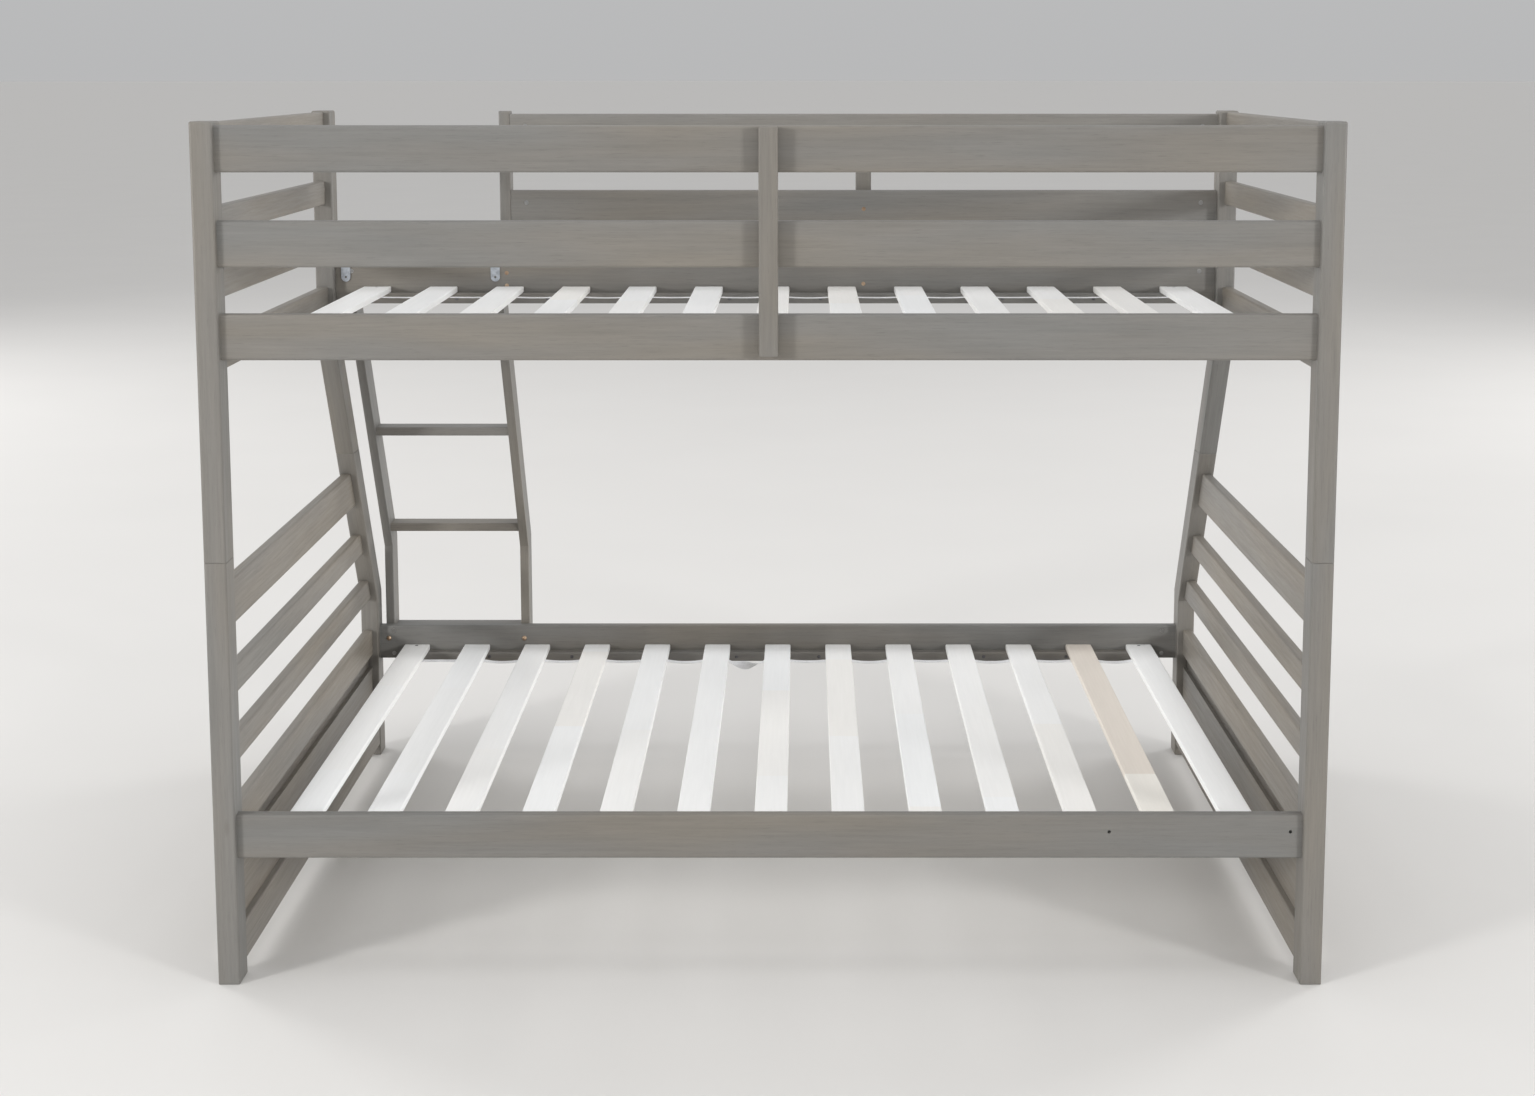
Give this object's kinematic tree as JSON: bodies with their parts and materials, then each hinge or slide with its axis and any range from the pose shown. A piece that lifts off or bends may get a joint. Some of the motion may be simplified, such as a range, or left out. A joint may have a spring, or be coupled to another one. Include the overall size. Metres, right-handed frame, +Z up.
{
  "type": "bunk bed with ladder",
  "caption": "Slatted wooden bunk bed, a narrow bunk over a wider one, with leaning rear legs, guard rails and a hook-on ladder at the guard's opening.",
  "frame": {"origin": "on the floor, at the middle of the whole bed with its ladder", "axes": "+X along the beds from the ladder's end to the other end, +Y from the straight wall side to the ladder side, +Z up"},
  "size_m": [2.02, 1.521, 1.572],
  "materials": {
    "grey_washed_wood": "thin grey-brown wash over fine straight grain, satin",
    "white_slat": "white paint, satin",
    "cream_slat": "cream-white paint, satin",
    "white_tape": "flat woven tape",
    "zinc_strap": "bright zinc plate",
    "zinc_fastener": "zinc plate",
    "plain_steel": "dull dark steel",
    "yellow_zinc": "yellow zinc plate"
  },
  "bodies": {
    "root": {"lower_post_wall_left": "grey_washed_wood", "lower_post_wall_right": "grey_washed_wood", "lower_post_ladder_left": "grey_washed_wood", "lower_post_ladder_right": "grey_washed_wood", "upper_post_wall_left": "grey_washed_wood", "upper_post_wall_right": "grey_washed_wood", "upper_post_ladder_left": "grey_washed_wood", "upper_post_ladder_right": "grey_washed_wood", "upper_end_top_rail_left": "grey_washed_wood", "upper_end_second_rail_left": "grey_washed_wood", "upper_end_third_rail_left": "grey_washed_wood", "upper_end_bottom_rail_left": "grey_washed_wood", "upper_end_top_rail_right": "grey_washed_wood", "upper_end_second_rail_right": "grey_washed_wood", "upper_end_third_rail_right": "grey_washed_wood", "upper_end_bottom_rail_right": "grey_washed_wood", "lower_end_top_rail_left": "grey_washed_wood", "lower_end_second_rail_left": "grey_washed_wood", "lower_end_third_rail_left": "grey_washed_wood", "lower_end_fourth_rail_left": "grey_washed_wood", "lower_end_panel_left": "grey_washed_wood", "lower_end_foot_rail_left": "grey_washed_wood", "lower_end_top_rail_right": "grey_washed_wood", "lower_end_second_rail_right": "grey_washed_wood", "lower_end_third_rail_right": "grey_washed_wood", "lower_end_fourth_rail_right": "grey_washed_wood", "lower_end_panel_right": "grey_washed_wood", "lower_end_foot_rail_right": "grey_washed_wood", "wall_guard_top_rail": "grey_washed_wood", "wall_guard_mid_rail": "grey_washed_wood", "wall_guard_cleat": "grey_washed_wood", "ladder_guard_top_rail": "grey_washed_wood", "ladder_guard_mid_rail": "grey_washed_wood", "ladder_guard_cleat": "grey_washed_wood", "opening_post": "grey_washed_wood", "upper_side_rail_wall": "grey_washed_wood", "upper_side_rail_ladder": "grey_washed_wood", "lower_side_rail_wall": "grey_washed_wood", "lower_side_rail_ladder": "grey_washed_wood", "upper_ledger_wall": "grey_washed_wood", "upper_ledger_ladder": "grey_washed_wood", "lower_ledger_wall": "grey_washed_wood", "lower_ledger_ladder": "grey_washed_wood", "ladder_stile_left": "grey_washed_wood", "ladder_stile_right": "grey_washed_wood", "ladder_rungs": "grey_washed_wood", "upper_slats": "white_slat", "lower_slats": "white_slat", "lower_cream_slat": "cream_slat", "slat_webbing": "white_tape", "ladder_hooks": "zinc_strap", "post_bolts": "zinc_fastener", "barrel_nuts": "zinc_fastener", "hook_screws": "zinc_fastener", "ladder_foot_bolts": "yellow_zinc", "post_pins": "plain_steel", "ledger_screws": "plain_steel", "slat_screws": "plain_steel", "guard_screws": "yellow_zinc"}
  },
  "joints": []
}
